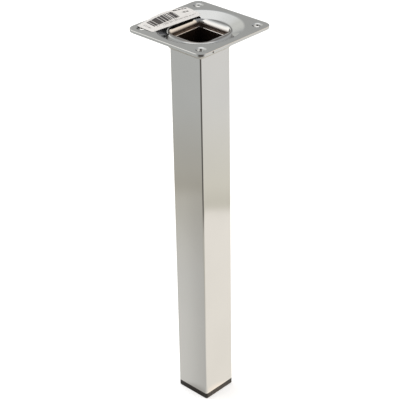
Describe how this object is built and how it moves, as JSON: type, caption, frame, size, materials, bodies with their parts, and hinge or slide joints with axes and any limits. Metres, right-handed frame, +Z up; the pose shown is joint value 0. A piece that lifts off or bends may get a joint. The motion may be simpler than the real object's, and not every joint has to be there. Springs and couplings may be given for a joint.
{
  "type": "square metal table leg",
  "caption": "Square steel tube furniture leg with a pressed, dished screw plate on top and a black plastic foot plug.",
  "frame": {"origin": "middle of the foot's underside, on the floor", "axes": "+Z up along the tube to the plate; X and Y square to the tube's faces"},
  "size_m": [0.06, 0.06, 0.255],
  "materials": {
    "plated_plate": "bright plated pressed sheet",
    "plated_tube": "soft satin plated",
    "plated_weld": "dull plated weld",
    "black_plastic": "moulded matt",
    "paper_label": null
  },
  "bodies": {
    "root": {"mounting_plate": "plated_plate", "leg_tube": "plated_tube", "collar_weld": "plated_weld", "foot_plug": "black_plastic"}
  },
  "joints": []
}
